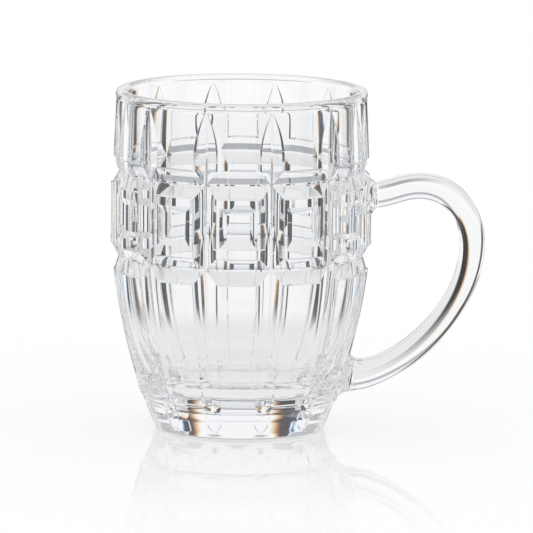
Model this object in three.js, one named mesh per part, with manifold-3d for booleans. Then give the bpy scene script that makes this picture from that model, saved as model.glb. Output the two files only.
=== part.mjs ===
// Clear glass mug with a twelve-sided, mitre-cut body and a looped handle.
// Millimetres, +Z up. The mug's axis is Z, it stands on z = 0 and the handle points to +X.
import * as THREE from 'three';
import { mergeVertices } from 'three/addons/utils/BufferGeometryUtils.js';
import Module from 'manifold-3d';

// Overall sizes
const SIDES = 12;
const HEIGHT = 106;
const RIM_RADIUS = 39.1;
const BASE_RADIUS = 25;
const BASE_EDGE = 1.4;
const BASE_EDGE_TURN = THREE.MathUtils.degToRad(70);

// Lip and walls
const LIP_THICKNESS = 3.8;
const LIP_LAND = 0.3;
const LIP_WAIST = 0.15;
const LIP_NECK = 0.6;
const UPPER_WALL = 3.95;
const MIDDLE_WALL = 4.9;
const FLOOR_THICKNESS = 13;
const FLOOR_RADIUS = 17;

// Distance of each tile's face from the axis
const UPPER_FACE = 39.7;
const MIDDLE_FACE = 40.4;
const LOWER_FACE_TOP = 39.5;
const LOWER_FACE_BELLY = 37.2;
const LOWER_FACE_BOTTOM = 30.9;
const FOOT_FACE = 29.3;

// Heights of the three mitred rings, and their distance from the axis at the middle of a side
const UPPER_RING_Z = 81;
const LOWER_RING_Z = 54.7;
const FOOT_RING_Z = 9;
const RING_DEPTH = 2.6;
const UPPER_RING = MIDDLE_FACE - RING_DEPTH;
const LOWER_RING = MIDDLE_FACE - RING_DEPTH;
const FOOT_RING = 29.4;

// Height of each bevel that climbs from a ring to a tile's face
const UPPER_TILE_BEVEL_RISE = 4.5;
const MIDDLE_TILE_BEVEL_RISE = 4.4;
const MIDDLE_TILE_END_RISE = 3.7;
const LOWER_TILE_BEVEL_RISE = 4.8;
const LOWER_TILE_END_RISE = 2.5;
const FOOT_TILE_BEVEL_RISE = 1.5;

// Width of the bevels beside the upright grooves, and the depth of the grooves below the faces
const UPPER_BEVEL = 3.5;
const MIDDLE_BEVEL = 3.25;
const LOWER_BEVEL_TOP = 3.6;
const LOWER_BEVEL_BOTTOM = 2.6;
const FOOT_BEVEL = 2.4;
const UPPER_GROOVE = 1.8;
const LOWER_GROOVE_TOP = 1.8;
const LOWER_GROOVE_BOTTOM = 1.2;
const FOOT_GROOVE = 0.7;

// Length over which the grooves run out to a point under the lip
const LANCET_RUN = 14;

// Square pocket in the middle tiles
const POCKET_WIDTH = 11.8;
const POCKET_HEIGHT = 12.4;
const POCKET_BEVEL = 2.2;
const POCKET_DEPTH = 1.3;

// Flat seats where the handle meets the two bosses
const UPPER_SEAT_PROUD = 1.8;
const UPPER_SEAT_X = MIDDLE_FACE + UPPER_SEAT_PROUD;
const UPPER_SEAT_Z = 73;
const LOWER_SEAT_PROUD = 3.4;
const LOWER_SEAT_Z = 16.9;
const LOWER_SEAT_TILT = THREE.MathUtils.degToRad(23);
const SEAT_GAP = 0.3;
const BOSS_FLARE = 2.2;
const BOSS_SPREAD = 0.8;
const BOSS_ROOT = 4;

// Handle
const HANDLE_THICKNESS = 7.8;
const HANDLE_DEPTH = 10.2;
const HANDLE_SQUARENESS = 2.6;
const HANDLE_FOOT_SWELL = 0.9;
const HANDLE_FOOT_RUN = 13;
const HANDLE_PROJECTION = 29.4;
const HANDLE_SHOULDER = 13.3;
const HANDLE_LIFT = 3.2;
const HANDLE_DROP = 14.5;
const HANDLE_REACH = UPPER_SEAT_X + HANDLE_PROJECTION;
const HANDLE_CROWN_X = UPPER_SEAT_X + HANDLE_SHOULDER;
const HANDLE_CROWN_Z = UPPER_SEAT_Z + HANDLE_LIFT;
const HANDLE_OUTER_Z = UPPER_SEAT_Z - HANDLE_DROP;

// Pull of the handle's curves, as shares of the span that each one bridges
const ARM_PULL = 0.5;
const SHOULDER_PULL = 0.58;
const GRIP_PULL = 0.48;
const ARRIVAL_PULL = 0.43;
const ARRIVAL_LIFT = 0.045;

// Fineness of the curves
const CAVITY_SEGMENTS = 4 * SIDES;
const HANDLE_SECTION_POINTS = 16;
const HANDLE_STEP = 3;
const BOSS_STEP = 0.8;
const EDGE_STEPS = 3;
const WALL_STEPS = 8;
const FOOT_SHARES = [0.08, 0.35, 0.7, 1];
const LANCET_SHARES = [0, 0.22, 0.42, 0.6, 0.76, 0.89, 0.96];

const HALF_SIDE = Math.PI / SIDES;
const lerp = THREE.MathUtils.lerp;
const wasm = await Module();
wasm.setup();

// Turns a closed geometry into a solid, with its faces outwards and without the collapsed ones
function toSolid(geometry) {
  const bare = geometry.clone();
  bare.deleteAttribute('normal');
  bare.deleteAttribute('uv');
  const merged = mergeVertices(bare, 1e-4);
  const position = merged.attributes.position;
  const corner = [new THREE.Vector3(), new THREE.Vector3(), new THREE.Vector3()];
  const triangles = [];
  let volume = 0;
  for (let i = 0; i < merged.index.count; i += 3) {
    const ids = [0, 1, 2].map((k) => merged.index.getX(i + k));
    if (new Set(ids).size < 3) continue;
    ids.forEach((id, k) => corner[k].fromBufferAttribute(position, id));
    volume += corner[0].dot(corner[1].cross(corner[2]));
    triangles.push(ids);
  }
  const facing = volume > 0 ? triangles : triangles.map(([a, b, c]) => [a, c, b]);
  return new wasm.Manifold(new wasm.Mesh({
    numProp: 3,
    vertProperties: new Float32Array(position.array),
    triVerts: new Uint32Array(facing.flat()),
  }));
}

function toGeometry(solid) {
  const mesh = solid.getMesh();
  const geometry = new THREE.BufferGeometry();
  geometry.setAttribute('position', new THREE.BufferAttribute(new Float32Array(mesh.vertProperties), 3));
  geometry.setIndex(new THREE.BufferAttribute(new Uint32Array(mesh.triVerts), 1));
  return geometry;
}

// Skins a stack of rings of equal length and closes both ends.
// risesRight(row, column) picks the diagonal on which a four-cornered patch is folded.
function loft(rings, risesRight = () => true) {
  const count = rings[0].length;
  const points = rings.flat();
  const index = [];
  for (let row = 0; row + 1 < rings.length; row++) {
    for (let column = 0; column < count; column++) {
      const next = (column + 1) % count;
      const a = row * count + column;
      const b = row * count + next;
      const c = a + count;
      const d = b + count;
      if (risesRight(row, column)) index.push(a, b, d, a, d, c);
      else index.push(a, b, c, b, d, c);
    }
  }
  for (const [row, flip] of [[0, true], [rings.length - 1, false]]) {
    const centre = new THREE.Vector3();
    rings[row].forEach((point) => centre.addScaledVector(point, 1 / count));
    const hub = points.push(centre) - 1;
    for (let column = 0; column < count; column++) {
      const a = row * count + column;
      const b = row * count + (column + 1) % count;
      index.push(...(flip ? [hub, b, a] : [hub, a, b]));
    }
  }
  const geometry = new THREE.BufferGeometry().setFromPoints(points);
  geometry.setIndex(index);
  return geometry;
}

// Points across one side of the body, from its left groove to just before its right one, as
// [across, out]. flat is 1 where the side is a bevelled tile and 0 where the body is round.
function sideSection({ face, groove, bevel, flat }) {
  const reach = groove * Math.tan(HALF_SIDE);
  const edge = reach - bevel;
  const tile = [[-reach, groove], [-edge, face], [0, face], [edge, face]];
  return tile.map(([across, out], i) => {
    const angle = flat > 0 ? (across / reach) * HALF_SIDE : HALF_SIDE * (2 * i / tile.length - 1);
    return [lerp(face * Math.sin(angle), across, flat), lerp(face * Math.cos(angle), out, flat)];
  });
}

// Turns a point of one side, given across, outwards and up, into the body's frame
function onSide(side, across, out, z) {
  const turn = side * 2 * HALF_SIDE;
  const x = out * Math.cos(turn) - across * Math.sin(turn);
  const y = out * Math.sin(turn) + across * Math.cos(turn);
  return new THREE.Vector3(x, y, z);
}

function bodyRing(row) {
  const ring = [];
  for (let side = 0; side < SIDES; side++) {
    for (const [across, out] of sideSection(row)) ring.push(onSide(side, across, out, row.z));
  }
  return ring;
}

const roundRow = (z, radius) => ({ z, face: radius, groove: radius, bevel: 0, flat: 0 });
const ringRow = (z, distance, bevel) => ({ z, face: distance, groove: distance, bevel, flat: 1 });
const tileRow = (z, face, groove, bevel, flat = 1) => ({ z, face, groove, bevel, flat });

// Base edge and the short foot tiles, whose grooves run out to a point at the bottom
function footRows() {
  const rows = [];
  for (let step = 0; step <= EDGE_STEPS; step++) {
    const angle = (step / EDGE_STEPS) * BASE_EDGE_TURN;
    rows.push(roundRow(BASE_EDGE * (1 - Math.cos(angle)), BASE_RADIUS + BASE_EDGE * Math.sin(angle)));
  }
  const bottom = rows.at(-1);
  const topZ = FOOT_RING_Z - FOOT_TILE_BEVEL_RISE;
  for (const share of FOOT_SHARES) {
    const face = lerp(bottom.face, FOOT_FACE, share);
    rows.push(tileRow(lerp(bottom.z, topZ, share), face, face - FOOT_GROOVE, FOOT_BEVEL * share, share));
  }
  return rows;
}

// The tall lower tiles, whose faces curve in towards the base
const lowerFaceCurve = new THREE.QuadraticBezierCurve(
  new THREE.Vector2(LOWER_FACE_BOTTOM, FOOT_RING_Z + LOWER_TILE_END_RISE),
  new THREE.Vector2(LOWER_FACE_BELLY, (FOOT_RING_Z + LOWER_RING_Z) / 2),
  new THREE.Vector2(LOWER_FACE_TOP, LOWER_RING_Z - LOWER_TILE_BEVEL_RISE),
);

function lowerRows() {
  return lowerFaceCurve.getPoints(WALL_STEPS).map((point, i) => {
    const share = i / WALL_STEPS;
    const depth = lerp(LOWER_GROOVE_BOTTOM, LOWER_GROOVE_TOP, share);
    const bevel = lerp(LOWER_BEVEL_BOTTOM, LOWER_BEVEL_TOP, share);
    return tileRow(point.y, point.x, point.x - depth, bevel);
  });
}

// Distance of the lower tiles' faces from the axis at a height
function lowerFaceAt(z) {
  const points = lowerFaceCurve.getPoints(WALL_STEPS);
  const above = Math.max(1, points.findIndex((point) => point.y > z));
  const [low, high] = [points[above - 1], points[above]];
  return lerp(low.x, high.x, (z - low.y) / (high.y - low.y));
}

// The middle tiles, each a bevelled block
function middleRows() {
  const bottom = LOWER_RING_Z + MIDDLE_TILE_END_RISE;
  const top = UPPER_RING_Z - MIDDLE_TILE_BEVEL_RISE;
  return [bottom, top].map((z) => {
    const groove = lerp(LOWER_RING, UPPER_RING, (z - LOWER_RING_Z) / (UPPER_RING_Z - LOWER_RING_Z));
    return tileRow(z, MIDDLE_FACE, groove, MIDDLE_BEVEL);
  });
}

// The upper tiles, which turn from flat to round while their grooves run out in lancets
function upperRows() {
  const bottom = UPPER_RING_Z + UPPER_TILE_BEVEL_RISE;
  const top = HEIGHT - LIP_THICKNESS / 2 - LIP_NECK;
  return LANCET_SHARES.map((share) => {
    const z = lerp(bottom, top, share);
    const toTip = Math.min(1, (top - z) / LANCET_RUN);
    const flat = 1 - (1 - toTip) ** 2;
    const face = lerp(UPPER_FACE, RIM_RADIUS - LIP_WAIST, share);
    return tileRow(z, face, face - UPPER_GROOVE, UPPER_BEVEL * flat, flat);
  });
}

// The round outer half of the fire-polished lip
function lipRows() {
  const round = (LIP_THICKNESS - LIP_LAND) / 2;
  const centreZ = HEIGHT - round;
  const rows = [roundRow(centreZ - LIP_NECK / 2, RIM_RADIUS - LIP_WAIST)];
  for (let step = 0; step <= EDGE_STEPS; step++) {
    const angle = (step / EDGE_STEPS) * Math.PI / 2;
    rows.push(roundRow(centreZ + round * Math.sin(angle), RIM_RADIUS - round * (1 - Math.cos(angle))));
  }
  return rows;
}

// Solid twelve-sided blank. Each patch is folded along the line from its tile's corner inwards,
// which gives the mitre lines of the crossings.
function makeBlank() {
  const rows = [
    ...footRows(),
    ringRow(FOOT_RING_Z, FOOT_RING, FOOT_BEVEL),
    ...lowerRows(),
    ringRow(LOWER_RING_Z, LOWER_RING, MIDDLE_BEVEL),
    ...middleRows(),
    ringRow(UPPER_RING_Z, UPPER_RING, MIDDLE_BEVEL),
    ...upperRows(),
    ...lipRows(),
  ];
  const bounds = [0, FOOT_RING_Z, LOWER_RING_Z, UPPER_RING_Z, HEIGHT];
  const rings = rows.map(bodyRing);
  const perSide = rings[0].length / SIDES;
  return toSolid(loft(rings, (row, column) => {
    const z = (rows[row].z + rows[row + 1].z) / 2;
    const tier = bounds.findIndex((bound) => bound > z);
    const belowCentre = z < (bounds[tier - 1] + bounds[tier]) / 2;
    const leftHalf = column % perSide < perSide / 2;
    return belowCentre === leftHalf;
  }));
}

// Square pocket with sloping sides, sunk into the middle tile of one side
function makePocket(side) {
  const centre = (LOWER_RING_Z + UPPER_RING_Z) / 2;
  const slope = POCKET_BEVEL / POCKET_DEPTH;
  const square = (depth) => {
    const halfWidth = POCKET_WIDTH / 2 - depth * slope;
    const halfHeight = POCKET_HEIGHT / 2 - depth * slope;
    const corners = [[-1, -1], [1, -1], [1, 1], [-1, 1]];
    return corners.map(([i, j]) => onSide(side, i * halfWidth, MIDDLE_FACE - depth, centre + j * halfHeight));
  };
  return toSolid(loft([square(POCKET_DEPTH), square(-POCKET_DEPTH)]));
}

// Smooth inside: a flat floor, a bowl, an almost upright wall and the inner half of the lip
function makeCavity() {
  const round = (LIP_THICKNESS - LIP_LAND) / 2;
  const mouth = RIM_RADIUS - LIP_THICKNESS;
  const waist = MIDDLE_FACE - MIDDLE_WALL;
  const widest = UPPER_FACE - UPPER_WALL;
  const widestZ = UPPER_RING_Z + UPPER_TILE_BEVEL_RISE;
  const shoulder = HEIGHT - round;
  const profile = new THREE.Path();
  profile.moveTo(0, FLOOR_THICKNESS);
  profile.lineTo(FLOOR_RADIUS, FLOOR_THICKNESS);
  profile.bezierCurveTo(
    waist - (waist - FLOOR_RADIUS) / 3, FLOOR_THICKNESS,
    waist, (FLOOR_THICKNESS + LOWER_RING_Z) / 2,
    waist, LOWER_RING_Z,
  );
  profile.quadraticCurveTo(waist, (LOWER_RING_Z + widestZ) / 2, widest, widestZ);
  profile.lineTo(mouth, shoulder);
  profile.absarc(mouth + round, shoulder, round, Math.PI, Math.PI / 2, true);
  profile.lineTo(mouth + round, HEIGHT + LIP_THICKNESS);
  profile.lineTo(0, HEIGHT + LIP_THICKNESS);
  const lathe = new THREE.LatheGeometry(profile.getPoints(WALL_STEPS), CAVITY_SEGMENTS);
  return toSolid(lathe.rotateX(Math.PI / 2));
}

const inPlane = (x, z) => new THREE.Vector3(x, 0, z);

// Flat seats: a point on each, the direction from the body towards the handle, and how far it stands proud
const upperSeat = {
  point: inPlane(UPPER_SEAT_X, UPPER_SEAT_Z),
  out: inPlane(1, 0),
  proud: UPPER_SEAT_PROUD,
};
const lowerSeat = {
  point: inPlane(lowerFaceAt(LOWER_SEAT_Z) + LOWER_SEAT_PROUD, LOWER_SEAT_Z),
  out: inPlane(Math.cos(LOWER_SEAT_TILT), -Math.sin(LOWER_SEAT_TILT)),
  proud: LOWER_SEAT_PROUD,
};

// Centre line of the handle, carried on into the wall at both ends
function makeSpine() {
  const root = inPlane(UPPER_SEAT_X - BOSS_ROOT, UPPER_SEAT_Z);
  const crown = inPlane(HANDLE_CROWN_X, HANDLE_CROWN_Z);
  const outermost = inPlane(HANDLE_REACH, HANDLE_OUTER_Z);
  const foot = lowerSeat.point;
  const arm = HANDLE_CROWN_X - UPPER_SEAT_X;
  const shoulder = HANDLE_REACH - HANDLE_CROWN_X;
  const fall = HANDLE_CROWN_Z - HANDLE_OUTER_Z;
  const grip = HANDLE_OUTER_Z - foot.z;
  const arrival = inPlane(foot.x + (HANDLE_REACH - foot.x) * ARRIVAL_PULL, foot.z + grip * ARRIVAL_LIFT);
  const inward = foot.clone().sub(arrival).normalize();
  const heel = foot.clone().addScaledVector(inward, LOWER_SEAT_PROUD + BOSS_ROOT);
  const spine = new THREE.CurvePath();
  spine.add(new THREE.CubicBezierCurve3(
    root,
    inPlane(UPPER_SEAT_X + arm * ARM_PULL / 2, UPPER_SEAT_Z),
    inPlane(HANDLE_CROWN_X - arm * ARM_PULL, HANDLE_CROWN_Z),
    crown,
  ));
  spine.add(new THREE.CubicBezierCurve3(
    crown,
    inPlane(HANDLE_CROWN_X + shoulder * SHOULDER_PULL, HANDLE_CROWN_Z),
    inPlane(HANDLE_REACH, HANDLE_OUTER_Z + fall * SHOULDER_PULL),
    outermost,
  ));
  spine.add(new THREE.CubicBezierCurve3(
    outermost,
    inPlane(HANDLE_REACH, HANDLE_OUTER_Z - grip * GRIP_PULL),
    arrival,
    foot,
  ));
  spine.add(new THREE.LineCurve3(foot, heel));
  return spine;
}

// How far the section swells at a point behind a seat: a round cove down to the wall, then a straight spread
function flareAt(point, seat) {
  const behind = Math.max(0, seat.point.clone().sub(point).dot(seat.out));
  const share = Math.min(1, behind / seat.proud);
  const cove = BOSS_FLARE * (1 - Math.sqrt(1 - share * share));
  return cove + BOSS_SPREAD * Math.max(0, behind - seat.proud);
}

// Handle with its two bosses still in one piece
function makeLoop() {
  const spine = makeSpine();
  const length = spine.getLength();
  const bossZone = UPPER_SEAT_PROUD + LOWER_SEAT_PROUD + BOSS_ROOT;
  const stations = [];
  let along = 0;
  while (along < length) {
    stations.push(along / length);
    const nearEnd = along < bossZone || length - along < bossZone + HANDLE_STEP;
    along += nearEnd ? BOSS_STEP : HANDLE_STEP;
  }
  stations.push(1);
  const power = 2 / HANDLE_SQUARENESS;
  const heelRun = HANDLE_FOOT_RUN + LOWER_SEAT_PROUD + BOSS_ROOT;
  const rings = stations.map((share) => {
    const point = spine.getPointAt(share);
    const nearHeel = THREE.MathUtils.smoothstep(share * length, length - heelRun, length - BOSS_ROOT);
    const halfThickness = HANDLE_THICKNESS / 2 + HANDLE_FOOT_SWELL * nearHeel;
    const tangent = spine.getTangentAt(share);
    const outward = inPlane(tangent.z, -tangent.x);
    const seat = point.z > HANDLE_OUTER_Z ? upperSeat : lowerSeat;
    const ring = [];
    for (let i = 0; i < HANDLE_SECTION_POINTS; i++) {
      const angle = (i / HANDLE_SECTION_POINTS) * 2 * Math.PI;
      const across = Math.sign(Math.cos(angle)) * Math.abs(Math.cos(angle)) ** power;
      const deep = Math.sign(Math.sin(angle)) * Math.abs(Math.sin(angle)) ** power;
      const plain = point.clone().addScaledVector(outward, across * halfThickness);
      const flare = flareAt(plain, seat);
      plain.addScaledVector(outward, across * flare);
      plain.y += deep * (HANDLE_DEPTH / 2 + flare);
      ring.push(plain);
    }
    return ring;
  });
  return toSolid(loft(rings));
}

// Block that holds everything on the body's side of a seat, moved out by a clearance
function behindSeat(seat, clearance) {
  const size = HANDLE_OUTER_Z - LOWER_SEAT_Z;
  const block = new THREE.BoxGeometry(size, size, size);
  block.translate(-size / 2 + clearance, 0, 0);
  block.rotateY(-Math.atan2(seat.out.z, seat.out.x));
  block.translate(seat.point.x, seat.point.y, seat.point.z);
  return toSolid(block);
}

const loop = makeLoop();
const seats = [upperSeat, lowerSeat];
let bodySolid = makeBlank();
let handleSolid = loop;
for (const seat of seats) {
  bodySolid = bodySolid.add(loop.intersect(behindSeat(seat, 0)));
  handleSolid = handleSolid.subtract(behindSeat(seat, SEAT_GAP));
}
bodySolid = bodySolid.subtract(makeCavity());
// The side that carries the handle stays plain
for (let side = 1; side < SIDES; side++) bodySolid = bodySolid.subtract(makePocket(side));

const clearGlass = new THREE.MeshStandardMaterial({ color: 0xeef3f4, roughness: 0.03, metalness: 0 });
const mug = new THREE.Group();
for (const [name, solid] of [['mug_body', bodySolid], ['handle', handleSolid]]) {
  const mesh = new THREE.Mesh(toGeometry(solid), clearGlass);
  mesh.name = name;
  mug.add(mesh);
}

export default mug;
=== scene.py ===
"""Clear pressed-glass tea mug: a twelve-sided, mitre-cut body and a looped handle on two bosses."""
import logging
import math
from dataclasses import dataclass

import bmesh
import bpy
from mathutils import Matrix, Vector
from mathutils.geometry import interpolate_bezier


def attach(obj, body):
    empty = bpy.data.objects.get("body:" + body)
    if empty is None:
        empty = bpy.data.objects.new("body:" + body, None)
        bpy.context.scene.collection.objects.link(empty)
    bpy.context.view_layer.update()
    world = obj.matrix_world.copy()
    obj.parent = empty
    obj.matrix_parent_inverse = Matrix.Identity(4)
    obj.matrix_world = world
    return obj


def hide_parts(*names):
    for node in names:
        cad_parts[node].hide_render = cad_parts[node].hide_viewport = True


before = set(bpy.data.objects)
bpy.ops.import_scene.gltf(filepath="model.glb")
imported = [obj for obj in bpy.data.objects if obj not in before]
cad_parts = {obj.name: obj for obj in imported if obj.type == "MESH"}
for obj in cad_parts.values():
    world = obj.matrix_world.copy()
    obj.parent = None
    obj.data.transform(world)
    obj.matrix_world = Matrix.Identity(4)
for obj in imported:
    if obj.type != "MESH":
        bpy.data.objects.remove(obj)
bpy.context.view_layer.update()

MM = 0.001
IMAGE_SIDE = 533
CREASE = 14.0
FLATNESS = 50
MERGE = 0.005
SNAP = 1e-5
ROUND = 0.5
TILE_EDGE = 3
BOUNCES = 32
LOG = logging.getLogger("glass_mug")
Mesh, Vert = bmesh.types.BMesh, bmesh.types.BMVert
Object, Node, Socket = bpy.types.Object, bpy.types.Node, bpy.types.NodeSocket
Span = tuple[float, float]
Colour = tuple[float, float, float]
Value = Socket | Colour | float
Stops = tuple[tuple[float, Colour | float], ...]


def lerp(start: float, end: float, share: float) -> float:
    """Blends two numbers."""
    return start + (end - start) * share


def smooth_step(value: float, low: float, high: float) -> float:
    """Eases from 0 at low to 1 at high."""
    share = min(1.0, max(0.0, (value - low) / (high - low)))
    return share * share * (3.0 - 2.0 * share)


def in_plane(x: float, z: float) -> Vector:
    """A point of the handle's plane, in millimetres."""
    return Vector((x, 0.0, z))


def as_colour(item: Colour | float) -> Colour:
    """Turns a grey level into a colour."""
    return item if isinstance(item, tuple) else (item,) * 3


def new_object(name: str, bm: Mesh) -> Object:
    """Turns a finished bmesh, in millimetres, into a smooth-shaded object in metres.

    Args:
        name: Name of the new object.
        bm: The finished shape, which is freed.

    Returns:
        The new object, at the origin.
    """
    bmesh.ops.scale(bm, vec=Vector((MM, MM, MM)), verts=bm.verts[:])
    mesh = bpy.data.meshes.new(name)
    bm.to_mesh(mesh)
    bm.free()
    mesh.shade_smooth()
    made = bpy.data.objects.new(name, mesh)
    bpy.context.scene.collection.objects.link(made)
    return made


def face_outwards(bm: Mesh) -> None:
    """Turns all faces of a shape outwards."""
    bmesh.ops.recalc_face_normals(bm, faces=bm.faces[:])


def combine(made: Object, tool: Object, operation: str) -> None:
    """Adds a boolean to an object.

    Args:
        made: The object that changes.
        tool: The shape that is added or cut away.
        operation: Blender's name for the boolean.
    """
    step = made.modifiers.new("boss", "BOOLEAN")
    step.operation = operation
    step.solver = "EXACT"
    step.object = tool


def bake_modifiers(made: Object) -> None:
    """Replaces an object's mesh by the one that its modifiers give.

    Args:
        made: The object.
    """
    graph = bpy.context.evaluated_depsgraph_get()
    mesh = bpy.data.meshes.new_from_object(made.evaluated_get(graph))
    made.modifiers.clear()
    made.data = mesh


def weigh_normals(made: Object) -> None:
    """Keeps large faces flat while their rounded edges blend.

    Args:
        made: The finished piece.
    """
    made.data.shade_smooth()
    made.data.set_sharp_from_angle(angle=math.radians(CREASE))
    weights = made.modifiers.new("weights", "WEIGHTED_NORMAL")
    weights.mode = "FACE_AREA"
    weights.weight = FLATNESS
    weights.keep_sharp = True


@dataclass
class Wiring:
    """Nodes, sums, mixes and pictures in one node tree."""

    tree: bpy.types.NodeTree

    def feed(self, socket: Socket, item: Value) -> None:
        """Links a value to an input, or sets it there.

        Args:
            socket: The input.
            item: A socket, a number, a colour or a grey level.
        """
        if isinstance(item, Socket):
            self.tree.links.new(item, socket)
        elif socket.type == "RGBA":
            socket.default_value = (*as_colour(item), 1.0)
        else:
            socket.default_value = item

    def feed_all(self, node: Node, **values: Value) -> Node:
        """Feeds inputs of a node.

        Args:
            node: The node.
            **values: Values by the inputs' names, with _ for a space.

        Returns:
            The same node.
        """
        for key, item in values.items():
            self.feed(node.inputs[key.replace("_", " ")], item)
        return node

    def add(self, kind: str, **values: Value) -> Node:
        """Adds a node of a Blender type and feeds its inputs."""
        return self.feed_all(self.tree.nodes.new(kind), **values)

    def split(self, label: str) -> list[Socket]:
        """Takes a texture coordinate apart.

        Args:
            label: Blender's name for the coordinate.

        Returns:
            Its x, y and z.
        """
        place = self.add("ShaderNodeTexCoord").outputs[label]
        return list(self.add("ShaderNodeSeparateXYZ", Vector=place).outputs)

    def ramp(self, value: Socket, span: Span, start: float = 0.0, end: float = 1.0) -> Socket:
        """Eases from one number to another while a value rises.

        Args:
            value: The value that rises.
            span: Where the change starts and where it ends.
            start: The number before the change.
            end: The number after it.

        Returns:
            The eased number.
        """
        low, high = span
        node = self.add("ShaderNodeMapRange", Value=value, From_Min=low, From_Max=high)
        self.feed_all(node, To_Min=start, To_Max=end)
        node.interpolation_type = "SMOOTHSTEP"
        return node.outputs["Result"]

    def sum_of(self, operation: str, first: Value, second: Value = 0.0) -> Socket:
        """Does one sum with two numbers.

        Args:
            operation: Blender's name for the sum.
            first: A socket or a number.
            second: A socket or a number.

        Returns:
            The result.
        """
        node = self.add("ShaderNodeMath")
        node.operation = operation
        for socket, item in zip(node.inputs, (first, second)):
            self.feed(socket, item)
        return node.outputs["Value"]

    def mix(self, factor: Value, first: Value, second: Value, blend: str = "MIX") -> Socket:
        """Mixes two colours.

        Args:
            factor: 0 for the first, 1 for the second.
            first: A socket or a grey level.
            second: A socket or a grey level.
            blend: Blender's name for the way to mix.

        Returns:
            The mixed colour.
        """
        node = self.add("ShaderNodeMix")
        node.data_type = "RGBA"
        node.blend_type = blend
        for index, item in ((0, factor), (6, first), (7, second)):
            self.feed(node.inputs[index], item)
        return node.outputs[2]

    def picture(self, height: Socket, stops: Stops) -> Socket:
        """Colours a wall of the studio by height.

        Args:
            height: Sine of the elevation.
            stops: Heights with their colours or grey levels.

        Returns:
            The wall's colour.
        """
        node = self.add("ShaderNodeValToRGB", Fac=height)
        elements = node.color_ramp.elements
        elements.remove(elements[1])
        for index, (place, colour) in enumerate(stops):
            stop = elements.new(place) if index else elements[0]
            stop.position = place
            stop.color = (*as_colour(colour), 1.0)
        return node.outputs["Color"]


@dataclass(frozen=True)
class PressedSurface:
    """Shared group that gives pressed glass its faint waves and its fire-polished sheen."""

    name: str = "pressed_surface"
    wave_detail: float = 1.0
    wave_roughness: float = 0.4
    film_size: float = 90.0
    film_detail: float = 3.0

    def group(self) -> bpy.types.NodeTree:
        """Builds the group once.

        Returns:
            The shader node group, with a normal and a roughness as outputs.
        """
        made = bpy.data.node_groups.get(self.name)
        if made:
            return made
        made = bpy.data.node_groups.new(self.name, "ShaderNodeTree")
        for label in ("Wave Size", "Wave Height", "Polish"):
            made.interface.new_socket(label, in_out="INPUT", socket_type="NodeSocketFloat")
        for label, kind in (("Normal", "Vector"), ("Roughness", "Float")):
            made.interface.new_socket(label, in_out="OUTPUT", socket_type=f"NodeSocket{kind}")
        wires = Wiring(made)
        given = wires.add("NodeGroupInput").outputs
        place = wires.add("ShaderNodeTexCoord").outputs["Object"]
        waves = wires.add(
            "ShaderNodeTexNoise", Vector=place, Scale=given["Wave Size"],
            Detail=self.wave_detail, Roughness=self.wave_roughness,
        ).outputs["Fac"]
        film = wires.add("ShaderNodeTexNoise", Vector=place, Scale=self.film_size, Detail=self.film_detail)
        bump = wires.add("ShaderNodeBump", Strength=1.0, Distance=given["Wave Height"], Height=waves)
        level = wires.add("ShaderNodeMapRange", Value=film.outputs["Fac"], To_Max=given["Polish"])
        wires.add("NodeGroupOutput", Normal=bump.outputs["Normal"], Roughness=level.outputs["Result"])
        return made


@dataclass(frozen=True)
class GlassFinish:
    """A clear glass finish."""

    name: str
    wave_size: float
    wave_height: float
    tint: Colour = (0.97, 0.975, 0.98)
    ior: float = 1.52
    polish: float = 0.01
    slot: str = "clear_glass"

    def material(self) -> bpy.types.Material:
        """Builds the glass.

        Returns:
            A material with a single Principled shader.
        """
        made = bpy.data.materials.new(self.name)
        made.use_nodes = True
        wires = Wiring(made.node_tree)
        surface = wires.add("ShaderNodeGroup")
        surface.node_tree = PressedSurface().group()
        wires.feed_all(surface, Wave_Size=self.wave_size, Wave_Height=self.wave_height, Polish=self.polish)
        wires.feed_all(
            made.node_tree.nodes["Principled BSDF"],
            Base_Color=self.tint, Metallic=0.0, IOR=self.ior, Transmission_Weight=1.0,
            Normal=surface.outputs["Normal"], Roughness=surface.outputs["Roughness"],
        )
        return made


BODY_GLASS = GlassFinish("body_glass", wave_size=55.0, wave_height=0.00002)
HANDLE_GLASS = GlassFinish("handle_glass", wave_size=80.0, wave_height=0.00001)


@dataclass(frozen=True)
class Level:
    """One level of the body's outside: a bevelled tile on every side, or a round ring.

    Its stage says how far it has climbed from a ring: 0 on the ring, TILE_EDGE from the tile's edge on.
    """

    z: float
    face: float
    groove: float
    bevel: float
    flat: float = 1.0
    sunk: float = 0.0
    crown: float = 0.0
    stage: int = TILE_EDGE


@dataclass(frozen=True)
class Seat:
    """Flat seat of the handle: a point on it, the way towards the handle, and how far it stands proud."""

    point: Vector
    out: Vector
    proud: float


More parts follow.
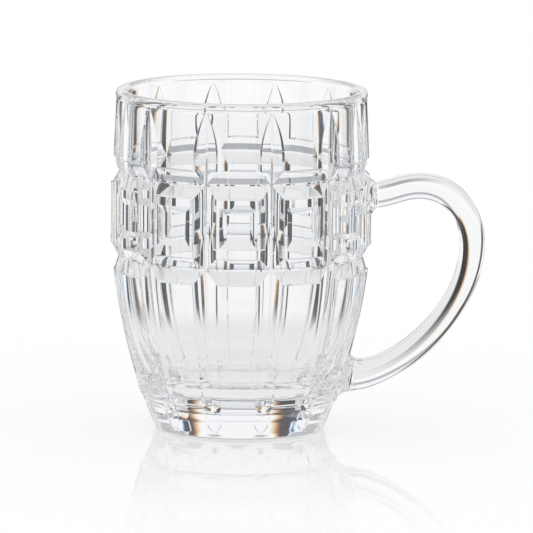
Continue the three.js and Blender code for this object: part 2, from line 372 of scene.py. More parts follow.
@dataclass
class MugBody:
    """The pressed body. All lengths in millimetres, and pairs of them from bottom to top."""

    name: str = "glass_body"
    sides: int = 12
    height: float = 106.0
    rim_radius: float = 39.1
    base_radius: float = 25.0
    base_edge: float = 1.4
    base_edge_turn: float = 70.0
    lip_thickness: float = 3.8
    lip_land: float = 0.3
    lip_waist: float = 0.15
    lip_neck: float = 0.6
    floor_thickness: float = 13.0
    floor_radius: float = 17.0
    upper_face: float = 39.7
    middle_face: float = 40.4
    lower_face_top: float = 39.5
    lower_face_belly: float = 37.2
    lower_face_bottom: float = 30.9
    foot_face: float = 29.3
    upper_ring_z: float = 81.0
    lower_ring_z: float = 54.7
    foot_ring_z: float = 9.0
    ring_depth: float = 2.6
    foot_ring: float = 29.4
    upper_rise: float = 4.5
    middle_rise: float = 4.4
    middle_low_rise: float = 3.7
    lower_rise: float = 4.8
    lower_end_rise: float = 2.5
    foot_rise: float = 0.7
    upper_bevel: float = 3.5
    middle_bevel: float = 3.25
    lower_bevel: Span = (2.6, 3.6)
    foot_bevel: float = 2.4
    upper_groove: float = 1.8
    lower_groove: Span = (1.7, 2.2)
    foot_groove: float = 0.7
    lancet_run: float = 14.0
    lancet_ease: float = 1.5
    lancet_soften: float = 10.0
    foot_soften: float = 5.0
    ledge: float = 0.9
    foot_tip: float = 0.15
    foot_run: float = 0.55
    pocket_width: float = 11.8
    pocket_height: float = 12.4
    pocket_bevel: float = 2.2
    pocket_depth: float = 1.3
    crown: float = 0.12
    upper_crown: float = 0.40
    pillow: float = 51.0
    belly_pull: float = 2 / 3
    upper_wall: float = 3.95
    middle_wall: float = 4.9
    root_cover: float = 0.8
    arris: float = 0.5
    arris_slope: float = 1.1
    arris_share: float = 0.15
    least_step: float = 0.1
    groove_round: float = 0.6
    edge_round: float = 0.1
    round_steps: int = 3
    arc_steps: int = 8
    wall_steps: int = 14
    lancet_steps: int = 18
    columns: int = 12

    @property
    def half_side(self) -> float:
        """Half the angle that one side takes."""
        return math.pi / self.sides

    @property
    def ring(self) -> float:
        """Distance of the two upper rings from the axis, at the middle of a side."""
        return self.middle_face - self.ring_depth

    def round_level(self, z: float, radius: float) -> Level:
        """A level where the body is round."""
        return Level(z, radius, radius, 0.0, 0.0)

    def lower_curve(self) -> list[Vector]:
        """Draws the profile of the lower tiles' faces.

        Returns:
            Points from the foot ring up.
        """
        start = in_plane(self.lower_face_bottom, self.foot_ring_z + self.lower_end_rise)
        belly = in_plane(self.lower_face_belly, (self.foot_ring_z + self.lower_ring_z) / 2)
        end = in_plane(self.lower_face_top, self.lower_ring_z - self.lower_rise)
        near_start = start.lerp(belly, self.belly_pull)
        near_end = end.lerp(belly, self.belly_pull)
        return interpolate_bezier(start, near_start, near_end, end, self.wall_steps + 1)

    def lower_face_at(self, z: float) -> float:
        """Measures how far the lower tiles' faces lie from the axis.

        Args:
            z: The height.

        Returns:
            The distance.
        """
        points = self.lower_curve()
        for low, high in zip(points, points[1:]):
            if low.z <= z <= high.z:
                return lerp(low.x, high.x, (z - low.z) / (high.z - low.z))
        return points[0].x

    def foot_levels(self) -> list[Level]:
        """Sets out the base edge and the short foot tiles, whose grooves run out downwards.

        Returns:
            Levels from the underside up.
        """
        levels = []
        for step in range(self.arc_steps + 1):
            turn = math.radians(self.base_edge_turn) * step / self.arc_steps
            reach = self.base_radius + self.base_edge * math.sin(turn)
            levels.append(self.round_level(self.base_edge * (1 - math.cos(turn)), reach))
        bottom = levels[-1]
        top_z = self.foot_ring_z - self.foot_rise
        for step in range(1, self.arc_steps * 2 + 1):
            share = step / (self.arc_steps * 2)
            face = lerp(bottom.face, self.foot_face, share)
            open_share = min(1.0, max(0.0, (share - self.foot_tip) / self.foot_run))
            open_share = 1 - (1 - open_share) ** 2
            groove = face - self.foot_groove * open_share
            flat = smooth_step(share, 0.0, self.foot_tip)
            z = lerp(bottom.z, top_z, share)
            bevel, crown = self.foot_bevel * open_share, self.crown * open_share / 2
            levels.append(Level(z, face, groove, bevel, flat, crown=crown))
        return levels

    def lower_levels(self) -> list[Level]:
        """Sets out the tall lower tiles, whose faces curve in towards the base.

        Returns:
            Levels from the foot ring up.
        """
        levels = []
        for step, point in enumerate(self.lower_curve()):
            share = step / self.wall_steps
            depth, bevel = lerp(*self.lower_groove, share), lerp(*self.lower_bevel, share)
            levels.append(Level(point.z, point.x, point.x - depth, bevel, crown=self.crown))
        return levels

    def middle_levels(self, pocketed: bool) -> list[Level]:
        """Sets out the middle tiles, with the levels of their pockets.

        Args:
            pocketed: Whether the tile has a pocket.

        Returns:
            Levels from the tile's lower edge to its upper edge.
        """
        centre = (self.lower_ring_z + self.upper_ring_z) / 2
        tile_low = self.lower_ring_z + self.middle_low_rise - centre
        tile_high = self.upper_ring_z - self.middle_rise - centre
        half_mouth = self.pocket_height / 2
        half_floor = half_mouth - self.pocket_bevel
        depth = self.pocket_depth if pocketed else 0.0
        steps = [
            (tile_low, 0), (-half_mouth, 0), (-half_floor, depth),
            (half_floor, depth), (half_mouth, 0), (tile_high, 0),
        ]
        face, groove, bevel = self.middle_face, self.ring, self.middle_bevel
        return [Level(centre + offset, face, groove, bevel, 1.0, sunk, self.crown) for offset, sunk in steps]

    def upper_levels(self) -> list[Level]:
        """Sets out the upper tiles, flat up to a ledge under the lip, with grooves that run out in lancets.

        Returns:
            Levels from the upper ring to the lip.
        """
        bottom = self.upper_ring_z + self.upper_rise
        top = self.height - self.lip_thickness / 2 - self.lip_neck
        levels = []
        for step in range(self.lancet_steps + 1):
            share = 1 - (1 - step / self.lancet_steps) ** self.lancet_ease
            z = lerp(bottom, top, share)
            to_tip = min(1.0, (top - z) / self.lancet_run)
            open_share = 1 - (1 - to_tip) ** 2
            face = lerp(self.upper_face, self.rim_radius - self.lip_waist, share)
            flat = smooth_step(top - z, 0.0, self.ledge)
            groove = face - self.upper_groove * open_share
            bevel, crown = self.upper_bevel * open_share, self.crown * open_share
            levels.append(Level(z, face, groove, bevel, flat, crown=crown))
        return levels

    def rolled_levels(self, ring: Level, tile: Level) -> list[Level]:
        """Sets out the rolled bevel between a ring and the edge of a tile.

        Args:
            ring: The ring's own level.
            tile: The level of the tile's edge.

        Returns:
            The level halfway up and the one at the foot of the tile's arris.
        """
        climbs = tile.face - ring.face > self.arris
        arris = self.arris if climbs else 0.0
        crown = self.upper_crown if tile.face == self.upper_face else self.crown
        foot_face = tile.face - arris * self.arris_slope
        foot_z = tile.z + math.copysign(max(arris, self.least_step), ring.z - tile.z)
        halfway = lerp(ring.face, foot_face, 0.5) + (crown if climbs else 0.0)
        groove = lerp(ring.groove, tile.groove, 0.5)
        return [
            Level(lerp(ring.z, tile.z, 0.5), halfway, groove, tile.bevel, stage=1),
            Level(foot_z, foot_face, tile.groove, tile.bevel, crown=tile.crown, stage=2),
        ]

    def lip_levels(self) -> list[Level]:
        """Sets out the round outer half of the fire-polished lip.

        Returns:
            Levels from the neck to the top.
        """
        radius = (self.lip_thickness - self.lip_land) / 2
        centre = self.height - radius
        levels = [self.round_level(centre - self.lip_neck / 2, self.rim_radius - self.lip_waist)]
        for step in range(self.arc_steps + 1):
            turn = math.pi / 2 * step / self.arc_steps
            reach = self.rim_radius - radius * (1 - math.cos(turn))
            levels.append(self.round_level(centre + radius * math.sin(turn), reach))
        return levels

    def section(self, level: Level) -> list[Span]:
        """Cuts one side across, from groove to groove.

        Args:
            level: The level that is cut.

        Returns:
            Pairs of the distance across and the distance out from the axis.
        """
        if level.flat == 0.0:
            turns = [self.half_side * (2 * i / self.columns - 1) for i in range(self.columns + 1)]
            return [(level.face * math.sin(a), level.face * math.cos(a)) for a in turns]
        slope = math.tan(self.half_side)
        bow = 0.5 / self.pillow
        bottom = level.groove - bow * (level.groove * slope - level.bevel) ** 2
        reach = bottom * slope
        edge = reach - level.bevel
        full_edge = self.ring * slope - self.middle_bevel
        mouth = edge * self.pocket_width / 2 / full_edge
        floor = edge * (self.pocket_width / 2 - self.pocket_bevel) / full_edge
        low = level.face - level.sunk
        rim = level.face - bow * edge ** 2
        arris = min(self.arris, level.bevel * self.arris_share)
        foot = rim - arris * self.arris_slope if level.stage == TILE_EDGE else rim
        halfway = (lerp(reach, edge, 0.5), lerp(bottom, foot, 0.5) + level.crown)
        climb = [(reach, bottom), halfway, (edge + arris, foot), (edge, rim)]
        climbed = max(1, level.stage)
        half = [(across, out if step < climbed else rim) for step, (across, out) in enumerate(climb)]
        half += [(mouth, level.face - bow * mouth ** 2), (floor, low - bow * floor ** 2)]
        if level.bevel == 0.0:
            even = [reach * (1 - 2 * step / self.columns) for step in range(1, self.columns // 2)]
            half = [(reach, bottom)] + [(across, level.face - bow * across ** 2) for across in even]
        tile = [(-across, out) for across, out in half] + [(0.0, low)] + half[::-1]
        points = []
        for across, out in tile:
            turn = across / reach * self.half_side
            round_point = (level.face * math.sin(turn), level.face * math.cos(turn))
            points.append(tuple(lerp(*pair, level.flat) for pair in zip(round_point, (across, out))))
        return points

    def add_side(self, bm: Mesh, pocketed: bool) -> list[Vert]:
        """Adds the outside of one side of the body, the one that faces +X.

        Args:
            bm: The mesh that grows.
            pocketed: Whether the middle tile has a pocket.

        Returns:
            The new vertices.
        """
        foot, lower = self.foot_levels(), self.lower_levels()
        middle, upper = self.middle_levels(pocketed), self.upper_levels()
        rings = [Level(self.foot_ring_z, self.foot_ring, self.foot_ring, self.foot_bevel, stage=0)]
        for z in (self.lower_ring_z, self.upper_ring_z):
            rings.append(Level(z, self.ring, self.ring, self.middle_bevel, stage=0))
        tiers = [foot, lower, middle, upper]
        levels = []
        for ring, below, above in zip(rings, tiers, tiers[1:]):
            levels += [*below, *self.rolled_levels(ring, below[-1])[::-1], ring]
            levels += self.rolled_levels(ring, above[0])
        levels += [*upper, *self.lip_levels()]
        made = bmesh.ops.create_grid(bm, x_segments=self.columns, y_segments=len(levels) - 1, size=1.0)
        grid = {}
        for vert in made["verts"]:
            column = round((vert.co.x + 1) / 2 * self.columns)
            row = round((vert.co.y + 1) / 2 * (len(levels) - 1))
            grid[row, column] = vert
        sections = [self.section(level) for level in levels]
        for (row, column), vert in grid.items():
            across, out = sections[row][column]
            vert.co = (out, across, levels[row].z)
        ring_rows = [levels.index(ring) for ring in rings]
        for row in ring_rows:
            for corner, way in ((0, 1), (self.columns, -1)):
                for step in (-1, 1):
                    mitre = [grid[row + step * i, corner + way * i] for i in range(TILE_EDGE + 1)]
                    for pair in zip(mitre, mitre[1:]):
                        bmesh.ops.connect_verts(bm, verts=pair)
        if pocketed:
            mouth = TILE_EDGE + 1
            for end, step in ((1, 1), (-2, -1)):
                row = levels.index(middle[end])
                for column, way in ((mouth, 1), (self.columns - mouth, -1)):
                    pair = [grid[row, column], grid[row + step, column + way]]
                    bmesh.ops.connect_verts(bm, verts=pair)
        tile_rows = [levels.index(tier[end]) for tier in tiers for end in (0, -1)]
        self.weigh_edges(bm, grid, len(levels), ring_rows, tile_rows)
        return list(grid.values())

    def spin_side(self, bm: Mesh, verts: list[Vert], copies: int) -> None:
        """Repeats a side round the axis, anticlockwise.

        Args:
            bm: The mesh that grows.
            verts: Vertices of the side.
            copies: How many sides to add.
        """
        faces = list({face for vert in verts for face in vert.link_faces})
        edges = list({edge for vert in verts for edge in vert.link_edges})
        bmesh.ops.spin(
            bm, geom=verts + edges + faces, cent=Vector(), axis=Vector((0, 0, 1)), dvec=Vector(),
            angle=2 * self.half_side * copies, steps=copies, use_duplicate=True,
        )

    def softness(self, z: float) -> float:
        """Says how much of the full rounding an edge gets: less where the grooves run out.

        Args:
            z: The edge's height.

        Returns:
            A share from 0 to 1.
        """
        top = self.height - self.lip_thickness / 2 - self.lip_neck
        tip = lerp(self.base_edge, self.foot_ring_z - self.foot_rise, self.foot_tip)
        return min(1.0, max(0.0, (top - z) / self.lancet_soften), max(0.0, (z - tip) / self.foot_soften))

    def weigh_edges(
        self, bm: Mesh, grid: dict[tuple[int, int], Vert], rows: int,
        ring_rows: list[int], tile_rows: list[int],
    ) -> None:
        """Marks grooves, rings and tile edges for the small radius of fire-polished glass.

        Args:
            bm: The mesh.
            grid: Vertices of one side, by row and column.
            rows: How many rows the side has.
            ring_rows: The rows of the three rings.
            tile_rows: The rows where tiles start and end.
        """
        layer = bm.edges.layers.float["bevel_weight_edge"]
        thin = self.edge_round / self.groove_round
        edges = (TILE_EDGE, self.columns - TILE_EDGE)
        marks = []
        for column, weight in ((0, 1.0), (self.columns, 1.0), *((column, thin) for column in edges)):
            marks += [(grid[row, column], grid[row + 1, column], weight) for row in range(rows - 1)]
        for column in range(self.columns):
            marks += [(grid[row, column], grid[row, column + 1], 1.0) for row in ring_rows]
        for column in range(*edges):
            marks += [(grid[row, column], grid[row, column + 1], thin) for row in tile_rows[1:-1]]
        for start, end, weight in marks:
            edge = bm.edges.get((start, end))
            edge[layer] = weight * min(self.softness(vert.co.z) for vert in (start, end))

    def round_edges(self, made: Object) -> None:
        """Rounds the marked edges.

        Args:
            made: The body.
        """
        rounding = made.modifiers.new("rounding", "BEVEL")
        rounding.limit_method = "WEIGHT"
        rounding.width = self.groove_round * MM
        rounding.segments = self.round_steps
        rounding.profile = ROUND
        rounding.use_clamp_overlap = False

    def inside_profile(self) -> list[Vector]:
        """Draws the profile of the smooth inside.

        Returns:
            Points from the middle of the flat floor to the top of the lip.
        """
        radius = (self.lip_thickness - self.lip_land) / 2
        mouth = self.rim_radius - self.lip_thickness
        waist = self.middle_face - self.middle_wall
        shoulder = self.height - radius
        corner_z = (self.floor_thickness + self.lower_ring_z) / 2
        floor_edge = in_plane(self.floor_radius, self.floor_thickness)
        bowl = interpolate_bezier(
            floor_edge,
            in_plane(waist - (waist - self.floor_radius) / 3, self.floor_thickness),
            in_plane(waist, corner_z),
            in_plane(waist, self.lower_ring_z),
            self.wall_steps * 2,
        )
        profile = [in_plane(share * self.floor_radius, self.floor_thickness) for share in (0.0, 0.5)] + bowl
        upper = self.upper_levels()
        knee = upper[0].z
        widest = upper[0].face - self.upper_wall
        for step in range(1, self.wall_steps):
            share = step / self.wall_steps
            reach = lerp(waist, widest, share * share)
            profile.append(in_plane(reach, lerp(self.lower_ring_z, knee, share)))
        for step in range(self.wall_steps):
            share = step / self.wall_steps
            profile.append(in_plane(lerp(widest, mouth, share), lerp(knee, shoulder, share)))
        for step in range(self.arc_steps + 1):
            turn = math.pi / 2 * step / self.arc_steps
            reach = mouth + radius * (1 - math.cos(turn))
            profile.append(in_plane(reach, shoulder + radius * math.sin(turn)))
        return profile

    def spin_profile(self, bm: Mesh, profile: list[Vector]) -> None:
        """Spins a profile round the axis and merges its poles.

        Args:
            bm: The mesh that grows.
            profile: Points in the handle's plane.
        """
        known = set(bm.verts)
        verts = [bm.verts.new(point) for point in profile]
        edges = [bm.edges.new(pair) for pair in zip(verts, verts[1:])]
        bmesh.ops.spin(
            bm, geom=verts + edges, cent=Vector(), axis=Vector((0, 0, 1)), dvec=Vector(),
            angle=2 * math.pi, steps=self.sides * self.columns, use_merge=True, use_duplicate=False,
        )
        fresh = [vert for vert in bm.verts if vert not in known]
        bmesh.ops.remove_doubles(bm, verts=fresh, dist=MERGE)

    def make_cavity(self) -> Object:
        """Makes the drink space, a little larger, as the tool that trims the bosses' roots.

        Returns:
            The closed shape.
        """
        cover = self.root_cover
        points = [point for point in self.inside_profile() if point.z < self.upper_ring_z]
        grown = [in_plane(point.x + cover if point.x else 0.0, point.z - cover) for point in points]
        bm = bmesh.new()
        self.spin_profile(bm, [*grown, in_plane(0.0, grown[-1].z)])
        face_outwards(bm)
        return new_object("drink_space", bm)

    def build(self, bosses: list[Object], finish: GlassFinish) -> Object:
        """Builds the body and melts the bosses into it.

        Args:
            bosses: Closed shapes that join the wall.
            finish: The glass.

        Returns:
            The finished piece.
        """
        bm = bmesh.new()
        bm.edges.layers.float.new("bevel_weight_edge")
        self.add_side(bm, False)
        side = self.add_side(bm, True)
        turn = Matrix.Rotation(2 * self.half_side, 4, "Z")
        bmesh.ops.transform(bm, matrix=turn, verts=side)
        self.spin_side(bm, side, self.sides - 2)
        bmesh.ops.remove_doubles(bm, verts=bm.verts[:], dist=MERGE)
        bottom = [edge for edge in bm.edges if edge.is_boundary and max(v.co.z for v in edge.verts) < MERGE]
        bmesh.ops.contextual_create(bm, geom=bottom)
        face_outwards(bm)
        outer_top = [edge for edge in bm.edges if edge.is_boundary]
        self.spin_profile(bm, self.inside_profile())
        inner_top = [edge for edge in bm.edges if edge.is_boundary and edge not in set(outer_top)]
        bmesh.ops.bridge_loops(bm, edges=outer_top + inner_top)
        face_outwards(bm)
        LOG.info("%s: open edges %d", self.name, sum(not e.is_manifold for e in bm.edges))
        made = new_object(self.name, bm)
        self.round_edges(made)
        cavity = self.make_cavity()
        for boss in bosses:
            combine(boss, cavity, "DIFFERENCE")
            bake_modifiers(boss)
            combine(made, boss, "UNION")
        bake_modifiers(made)
        for tool in (cavity, *bosses):
            bpy.data.objects.remove(tool)
        made.data.materials.clear()
        made.data.materials.append(finish.material())
        weigh_normals(made)
        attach(made, "root")
        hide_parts("mug_body")
        return made


@dataclass
class LoopHandle:
    """The looped handle and the bosses that carry it. All lengths in millimetres."""

    body: MugBody
    name: str = "glass_handle"
    upper_proud: float = 1.8
    upper_z: float = 73.0
    lower_proud: float = 3.4
    lower_z: float = 16.9
    lower_tilt: float = 23.0
    seat_gap: float = 0.3
    boss_flare: float = 2.2
    boss_spread: float = 0.8
    boss_root: float = 4.0
    thickness: float = 7.8
    depth: float = 10.2
    squareness: float = 3.3
    foot_swell: float = 0.9
    foot_run: float = 13.0
    projection: float = 29.4
    shoulder: float = 13.3
    lift: float = 3.2
    drop: float = 14.5
    arm_pull: float = 0.5
    shoulder_pull: float = 0.58
    grip_pull: float = 0.48
    arrival_pull: float = 0.43
    arrival_lift: float = 0.045
    section_points: int = 48
    fine_steps: int = 400
    step: float = 0.7
    end_round: float = 0.3

    @property
    def outer_z(self) -> float:
        """Height of the handle's outermost point."""
        return self.upper_z - self.drop

    def seats(self) -> tuple[Seat, Seat]:
        """Places the two seats.

        Returns:
            The upper and the lower seat.
        """
        tilt = math.radians(self.lower_tilt)
        upper_x = self.body.middle_face + self.upper_proud
        lower_x = self.body.lower_face_at(self.lower_z) + self.lower_proud
        upper = Seat(in_plane(upper_x, self.upper_z), in_plane(1, 0), self.upper_proud)
        way = in_plane(math.cos(tilt), -math.sin(tilt))
        return upper, Seat(in_plane(lower_x, self.lower_z), way, self.lower_proud)

    def spine(self) -> list[Vector]:
        """Draws the centre line of the loop, carried on into the wall at both ends.

        Returns:
            Points in even steps, from the upper root to the lower one.
        """
        upper, lower = self.seats()
        start, foot = upper.point, lower.point
        reach = start.x + self.projection
        crown = in_plane(start.x + self.shoulder, start.z + self.lift)
        outermost = in_plane(reach, self.outer_z)
        arm, bow = self.shoulder, reach - crown.x
        fall, grip = crown.z - self.outer_z, self.outer_z - foot.z
        arrival = in_plane(lerp(foot.x, reach, self.arrival_pull), foot.z + grip * self.arrival_lift)
        heel = foot + (foot - arrival).normalized() * (self.lower_proud + self.boss_root)
        root = start - upper.out * self.boss_root
        leave = in_plane(start.x + arm * self.arm_pull / 2, start.z)
        rise = in_plane(crown.x - arm * self.arm_pull, crown.z)
        over = in_plane(crown.x + bow * self.shoulder_pull, crown.z)
        down = in_plane(reach, self.outer_z + fall * self.shoulder_pull)
        sweep = in_plane(reach, self.outer_z - grip * self.grip_pull)
        arcs = [
            (root, leave, rise, crown),
            (crown, over, down, outermost),
            (outermost, sweep, arrival, foot),
            (foot, foot.lerp(heel, 1 / 3), foot.lerp(heel, 2 / 3), heel),
        ]
        fine = [root]
        for arc in arcs:
            fine += interpolate_bezier(*arc, self.fine_steps)[1:]
        points = [fine[0]]
        since = 0.0
        for previous, point in zip(fine, fine[1:]):
            since += (point - previous).length
            if since >= self.step:
                points.append(point)
                since -= self.step
        points[-1] = fine[-1]
        return points

    def flare(self, point: Vector, seat: Seat) -> float:
        """Swells the section behind a seat: a round cove to the wall, then a straight spread.

        Args:
            point: A point of the section.
            seat: The seat.

        Returns:
            How far the section swells there.
        """
        behind = max(0.0, (seat.point - point).dot(seat.out))
        share = min(1.0, behind / seat.proud)
        cove = self.boss_flare * (1 - math.sqrt(1 - share * share))
        return cove + self.boss_spread * max(0.0, behind - seat.proud)

    def loop(self) -> Mesh:
        """Sweeps the rounded section along the spine.

        Returns:
            The closed loop with its bosses still in one piece.
        """
        upper, lower = self.seats()
        points = self.spine()
        bm = bmesh.new()
        layer = bm.verts.layers.float_vector.new("section")
        made = bmesh.ops.create_circle(bm, segments=self.section_points, radius=1.0)
        power = 2 / self.squareness
        for vert in made["verts"]:
            across, deep = vert.co.x, vert.co.y
            vert[layer] = (*(math.copysign(abs(side) ** power, side) for side in (across, deep)), 0)
        ring = bm.edges[:]
        verts = made["verts"]
        heel_run = self.foot_run + self.lower_proud + self.boss_root
        length = (len(points) - 1) * self.step
        for index, point in enumerate(points):
            if index:
                grown = bmesh.ops.extrude_edge_only(bm, edges=ring)["geom"]
                verts = [item for item in grown if isinstance(item, Vert)]
                fresh = set(verts)
                edges = [item for item in grown if isinstance(item, bmesh.types.BMEdge)]
                ring = [edge for edge in edges if set(edge.verts) <= fresh]
            before, after = points[max(0, index - 1)], points[min(len(points) - 1, index + 1)]
            along = (after - before).normalized()
            outward = in_plane(along.z, -along.x)
            near_heel = smooth_step(index * self.step, length - heel_run, length - self.boss_root)
            half = self.thickness / 2 + self.foot_swell * near_heel
            seat = upper if point.z > self.outer_z else lower
            for vert in verts:
                across, deep, _ = vert[layer]
                place = point + outward * across * half
                swell = self.flare(place, seat)
                place = place + outward * across * swell
                place.y += deep * (self.depth / 2 + swell)
                vert.co = place
        self.close(bm)
        return bm

    def close(self, bm: Mesh) -> list[bmesh.types.BMEdge]:
        """Closes every open end with a flat face.

        Args:
            bm: The mesh to close.

        Returns:
            The edges round the new faces.
        """
        ends = [edge for edge in bm.edges if edge.is_boundary]
        bmesh.ops.edgeloop_fill(bm, edges=ends)
        face_outwards(bm)
        return ends

    def cut(self, bm: Mesh, seat: Seat, clearance: float, keep_handle: bool) -> None:
        """Cuts the loop at one seat.

        Args:
            bm: The loop.
            seat: The seat to cut at.
            clearance: How far towards the handle the cut lies from the seat.
            keep_handle: Whether the handle's side stays, or the boss's.
        """
        is_upper = seat.point.z > self.outer_z
        near = [face for face in bm.faces if (face.calc_center_median().z > self.outer_z) == is_upper]
        edges = {edge for face in near for edge in face.edges}
        verts = {vert for face in near for vert in face.verts}
        bmesh.ops.bisect_plane(
            bm, geom=[*verts, *edges, *near], dist=SNAP, plane_co=seat.point + seat.out * clearance,
            plane_no=seat.out, clear_inner=keep_handle, clear_outer=not keep_handle,
        )

    def make_bosses(self) -> list[Object]:
        """Makes the two bosses as closed shapes, ready to join the body.

        Returns:
            The upper and the lower boss.
        """
        bosses = []
        for label, seat in zip(("upper_boss", "lower_boss"), self.seats()):
            bm = self.loop()
            is_upper = seat.point.z > self.outer_z
            other = [face for face in bm.faces if (face.calc_center_median().z > self.outer_z) != is_upper]
            bmesh.ops.delete(bm, geom=other, context="FACES")
            self.cut(bm, seat, 0.0, False)
            self.close(bm)
            bosses.append(new_object(label, bm))
        return bosses

    def build(self, finish: GlassFinish) -> Object:
        """Builds the handle between its two seats.

        Args:
            finish: The glass.

        Returns:
            The finished piece.
        """
        bm = self.loop()
        for seat in self.seats():
            self.cut(bm, seat, self.seat_gap, True)
        rims = self.close(bm)
        bmesh.ops.bevel(
            bm, geom=[edge for edge in rims if edge.is_valid], offset=self.end_round, offset_type="OFFSET",
            affect="EDGES", segments=self.body.round_steps, profile=ROUND, material=-1, clamp_overlap=True,
        )
        face_outwards(bm)
        LOG.info("%s: open edges %d", self.name, sum(not e.is_manifold for e in bm.edges))
        made = new_object(self.name, bm)
        made.data.materials.append(finish.material())
        weigh_normals(made)
        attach(made, "root")
        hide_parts("handle")
        return made


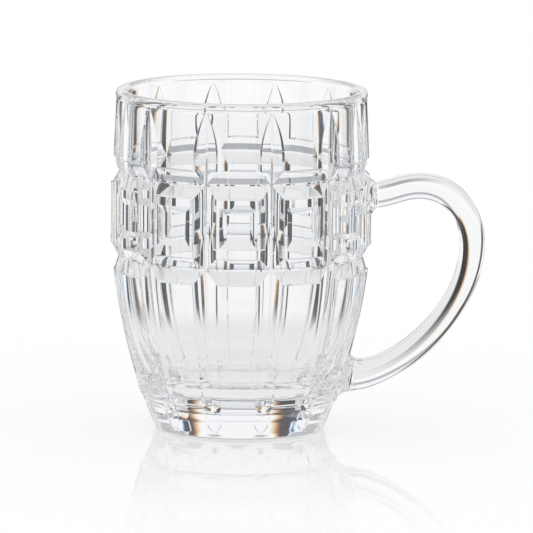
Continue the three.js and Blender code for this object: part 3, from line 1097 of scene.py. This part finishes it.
@dataclass
class Studio:
    """Pale floor, soft light all round and the camera of the photograph. Lengths in metres.

    White lanes cross under the mug, with dark flags between them. Only the glass shows the flags.
    """

    floor_size: float = 6.0
    floor_drop: float = 0.0002
    floor_colour: float = 0.40
    floor_gloss: float = 0.025
    floor_ior: float = 1.33
    mirror_fade: Span = (0.03, 0.20)
    mirror_far: float = 0.1
    distance: float = 3.0
    azimuth: float = 1.0
    elevation: float = 8.4
    roll: float = 0.45
    scale: float = 3226.0
    sensor: float = 36.0
    view_depth: float = 100.0
    aim_right: float = 0.0080
    aim_z: float = 0.05045
    pool: Span = (0.035, 0.120)
    lane: Span = (0.035, 0.080)
    # shade and shade_level: where and how dark the painted shade of the mug lies on the floor, seen through
    # glass.
    shade: Span = (0.14, 0.30)
    shade_level: float = 0.86
    # front and front_level: painted dark reflection, the floor in front of the mug darkens only where the
    # glass reflects it.
    front: Span = (-0.25, -0.05)
    front_level: float = 0.1
    fringe: float = 0.03
    flag_edge: Span = (0.20, 0.26)
    flag_lean: float = 0.2
    flag_level: float = 0.05
    backdrop: Span = (0.70, 0.85)
    side_trim: float = 0.06
    side_wall: Span = (0.05, 0.35)
    side_level: float = 0.26
    wall: Stops = (
        (0.0, 1.0), (0.024, (0.98, 0.98, 0.97)), (0.042, (0.72, 0.67, 0.62)), (0.062, (0.47, 0.48, 0.51)),
        (0.120, (0.45, 0.46, 0.50)), (0.145, (0.62, 0.65, 0.71)), (0.178, (0.93, 0.94, 0.97)),
        (0.380, 1.0), (0.420, (0.60, 0.58, 0.55)), (0.460, (0.45, 0.45, 0.48)), (0.620, (0.43, 0.43, 0.46)),
        (0.720, 0.85), (0.850, 0.60), (0.930, 0.10),
    )
    flags: Stops = (
        (0.0, 0.06), (0.360, (0.07, 0.07, 0.08)), (0.450, 0.95), (0.560, 0.95), (0.600, 0.06), (0.660, 0.06),
        (0.720, 0.95), (0.820, 0.95), (0.900, 0.03),
    )
    shine: Stops = (
        (0.0, 0.15), (0.04, 0.15), (0.07, 1.0), (0.27, 1.0), (0.31, 0.06), (0.58, 0.06),
        (0.66, 1.0), (0.84, 1.0), (0.92, 0.15),
    )

    def make_camera(self) -> None:
        """Places the camera at the photograph's viewing angle."""
        data = bpy.data.cameras.new("camera")
        data.sensor_width = self.sensor
        data.lens = self.scale * self.distance * self.sensor / IMAGE_SIDE
        data.clip_end = self.view_depth
        made = bpy.data.objects.new("camera", data)
        bpy.context.scene.collection.objects.link(made)
        turn, rise = math.radians(self.azimuth), math.radians(self.elevation)
        right = Vector((math.cos(turn), math.sin(turn), 0.0))
        back = Vector((math.sin(turn) * math.cos(rise), -math.cos(turn) * math.cos(rise), math.sin(rise)))
        aim = right * self.aim_right + Vector((0.0, 0.0, self.aim_z))
        made.location = aim + back * self.distance
        facing = (-back).to_track_quat("-Z", "Y").to_matrix()
        made.rotation_euler = (facing @ Matrix.Rotation(math.radians(self.roll), 3, "Z")).to_euler()
        bpy.context.scene.camera = made

    def off_lanes(self, wires: Wiring, x: Socket, y: Socket, bend: float = 0.0) -> Socket:
        """Measures the distance from the nearest of the four lanes.

        Args:
            wires: The node tree.
            x: Place along the first lane's normal.
            y: Place across it.
            bend: How much further off the straight lanes seem, and how much nearer the slanted ones.

        Returns:
            The distance.
        """
        sum_of = wires.sum_of
        straight = sum_of("MINIMUM", *(sum_of("ABSOLUTE", side) for side in (x, y)))
        crossing = (sum_of("ABSOLUTE", sum_of(way, x, y)) for way in ("ADD", "SUBTRACT"))
        slanted = sum_of("MULTIPLY", sum_of("MINIMUM", *crossing), math.sqrt(0.5) * (1.0 - bend))
        return sum_of("MINIMUM", sum_of("MULTIPLY", straight, 1.0 + bend), slanted)

    def flags_with_painted_fringes(self, wires: Wiring, ways: list[Socket], lean: Socket, lane: Socket, flag: Socket) -> Socket:
        """Puts flags between the lanes, with colour fringes painted at their edges, which stand in for the
        glass's dispersion.

        Args:
            wires: The node tree.
            ways: The heading's x and y.
            lean: How much narrower the flags get.
            lane: Colour of the lanes.
            flag: Colour of the flags.

        Returns:
            The colour.
        """
        masks = wires.add("ShaderNodeCombineXYZ")
        # Painted colour fringes: the red and blue edges of the flags are shifted apart.
        for socket, bend in zip(masks.inputs, (-self.fringe, 0.0, self.fringe)):
            aside = wires.sum_of("SUBTRACT", self.off_lanes(wires, *ways, bend), lean)
            wires.feed(socket, wires.ramp(aside, self.flag_edge))
        node = wires.add("ShaderNodeMix")
        node.data_type = "VECTOR"
        node.factor_mode = "NON_UNIFORM"
        for index, item in ((1, masks.outputs["Vector"]), (4, lane), (5, flag)):
            wires.feed(node.inputs[index], item)
        return node.outputs[1]

    def make_floor(self) -> None:
        """Lays the floor, white to the eye, and through glass a white pool between dark flags, with painted
        shade of the mug round it.
        """
        bm = bmesh.new()
        bmesh.ops.create_grid(bm, x_segments=1, y_segments=1, size=self.floor_size / 2 / MM)
        bmesh.ops.translate(bm, vec=Vector((0, 0, -self.floor_drop / MM)), verts=bm.verts[:])
        made = new_object("floor", bm)
        paint = bpy.data.materials.new("pale_floor")
        paint.use_nodes = True
        wires = Wiring(paint.node_tree)
        mix, ramp, sum_of = wires.mix, wires.ramp, wires.sum_of
        x, y, _ = wires.split("Object")
        reach = sum_of("SQRT", sum_of("ADD", *(sum_of("MULTIPLY", side, side) for side in (x, y))))
        heading = [sum_of("DIVIDE", side, reach) for side in (x, y)]
        aside = self.off_lanes(wires, x, y)
        near = sum_of("MULTIPLY", ramp(reach, self.pool), ramp(aside, self.lane))
        # Painted shade: seen through the glass, the floor darkens to shade_level near the mug and turns
        # white again farther out, a painted shadow of the mug.
        painted_shade_floor = mix(ramp(reach, self.shade, 1.0, 0.0), 1.0, self.shade_level)
        level = mix(ramp(heading[1], self.side_wall), self.side_level, self.flag_level)
        trim = ramp(heading[1], self.backdrop, self.side_trim, 0.0)
        through = self.flags_with_painted_fringes(wires, heading, trim, painted_shade_floor, mix(near, painted_shade_floor, level))
        # Painted reflection: glossy rays see the floor in front of the mug dark, while the eye sees it
        # white.
        mirrored = mix(ramp(y, self.front, 1.0, 0.0), through, self.front_level)
        path = wires.add("ShaderNodeLightPath").outputs
        in_glass = path["Is Transmission Ray"]
        seen = mix(path["Is Glossy Ray"], 1.0, mirrored)
        glow = mix(in_glass, seen, through)
        colour = mix(1.0, self.floor_colour, mix(in_glass, seen, 0.0), "MULTIPLY")
        lit = sum_of("MAXIMUM", path["Is Camera Ray"], path["Is Glossy Ray"])
        lit = sum_of("MULTIPLY", lit, 1.0 - self.floor_colour)
        board = paint.node_tree.nodes["Principled BSDF"]
        wires.feed_all(
            board, Roughness=1.0, Specular_IOR_Level=0.0, Base_Color=colour,
            Emission_Color=glow, Emission_Strength=sum_of("MAXIMUM", lit, in_glass),
        )
        mirror = wires.add("ShaderNodeBsdfGlossy", Roughness=self.floor_gloss, Color=1.0)
        grazing = wires.add("ShaderNodeFresnel", IOR=self.floor_ior).outputs["Fac"]
        sheen = sum_of("MULTIPLY", grazing, ramp(reach, self.mirror_fade, 1.0, self.mirror_far))
        sheen = sum_of("MULTIPLY", path["Is Camera Ray"], sheen)
        glaze = wires.add("ShaderNodeMixShader")
        for socket, layer in zip(glaze.inputs, (sheen, board.outputs["BSDF"], mirror.outputs["BSDF"])):
            wires.feed(socket, layer)
        wires.feed_all(paint.node_tree.nodes["Material Output"], Surface=glaze.outputs["Shader"])
        made.data.materials.append(paint)

    def make_light(self) -> None:
        """Surrounds the mug with white light, with grey walls, dark flags and soft boxes for the glass."""
        world = bpy.data.worlds.new("studio")
        bpy.context.scene.world = world
        world.use_nodes = True
        wires = Wiring(world.node_tree)
        mix, ramp = wires.mix, wires.ramp
        *ways, rise = wires.split("Generated")
        behind = ramp(ways[1], self.side_wall)
        flags = mix(behind, self.side_level, wires.picture(rise, self.flags))
        trim = ramp(ways[1], self.backdrop, self.side_trim, 0.0)
        lean = wires.sum_of("ADD", wires.sum_of("MULTIPLY", rise, self.flag_lean), trim)
        through = self.flags_with_painted_fringes(wires, ways, lean, wires.picture(rise, self.wall), flags)
        path = wires.add("ShaderNodeLightPath").outputs
        seen = mix(path["Is Glossy Ray"], 1.0, wires.picture(rise, self.shine))
        seen = mix(path["Is Transmission Ray"], seen, through)
        after_floor = ramp(path["Diffuse Depth"], (0.0, 1.0))
        background = world.node_tree.nodes["Background"]
        wires.feed_all(background, Strength=1.0, Color=mix(after_floor, seen, 1.0))


def set_render_depth(scene: bpy.types.Scene) -> None:
    """Lets light pass through the many walls of the glass, and shows colours as they are.

    Args:
        scene: The scene.
    """
    for kind in ("max", "transmission", "glossy", "transparent_max"):
        setattr(scene.cycles, f"{kind}_bounces", BOUNCES)
    scene.view_settings.view_transform = "Standard"


def main() -> None:
    """Builds the mug and its studio, and reports each piece."""
    logging.basicConfig(level=logging.INFO, format="%(name)s %(message)s")
    set_render_depth(bpy.context.scene)
    studio = Studio()
    studio.make_camera()
    studio.make_floor()
    studio.make_light()
    body = MugBody()
    handle = LoopHandle(body)
    pieces = [body.build(handle.make_bosses(), BODY_GLASS), handle.build(HANDLE_GLASS)]
    for piece in pieces:
        LOG.info("%s: %d faces", piece.name, len(piece.data.polygons))


if __name__ == "__main__":
    main()
